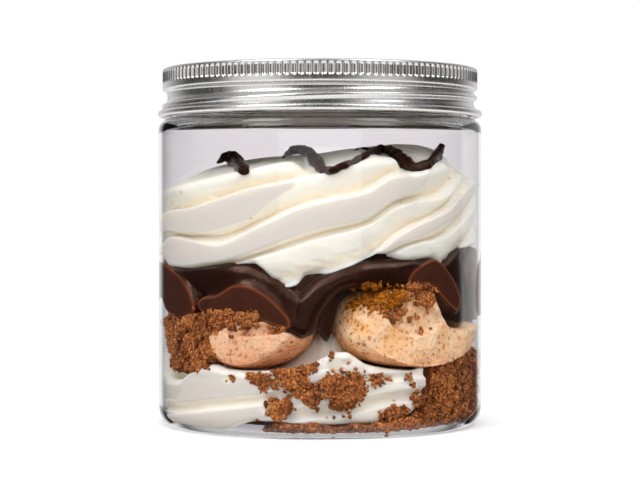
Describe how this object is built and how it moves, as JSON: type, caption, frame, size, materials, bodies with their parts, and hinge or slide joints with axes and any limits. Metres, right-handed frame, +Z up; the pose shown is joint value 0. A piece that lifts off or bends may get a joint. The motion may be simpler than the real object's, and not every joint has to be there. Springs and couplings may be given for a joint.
{
  "type": "tiramisu in a screw-top jar",
  "caption": "Layered tiramisu in a clear screw-top jar with an aluminium lid: crumbs, piped cream, sponge fingers, chocolate and a drizzled cream swirl.",
  "frame": {"origin": "middle of the jar's standing face", "axes": "+Z up along the jar's axis, -Y towards the shown front, +X towards the crumb bank at the right"},
  "size_m": [0.0822, 0.0822, 0.0897],
  "materials": {
    "clear_wall": "clear and polished",
    "lid_metal": "satin, finely brushed",
    "cream": "soft sheen",
    "sponge": "matt with fine pores",
    "crumbs": "matt and crumbly",
    "chocolate": "glossy, flat brown where pressed on the wall"
  },
  "bodies": {
    "root": {"jar": "clear_wall", "lid": "lid_metal", "crumb_bed": "crumbs", "lower_cream": "cream", "sponge_left": "sponge", "sponge_right": "sponge", "crumb_heap": "crumbs", "chocolate": "chocolate", "upper_cream": "cream"}
  },
  "joints": []
}
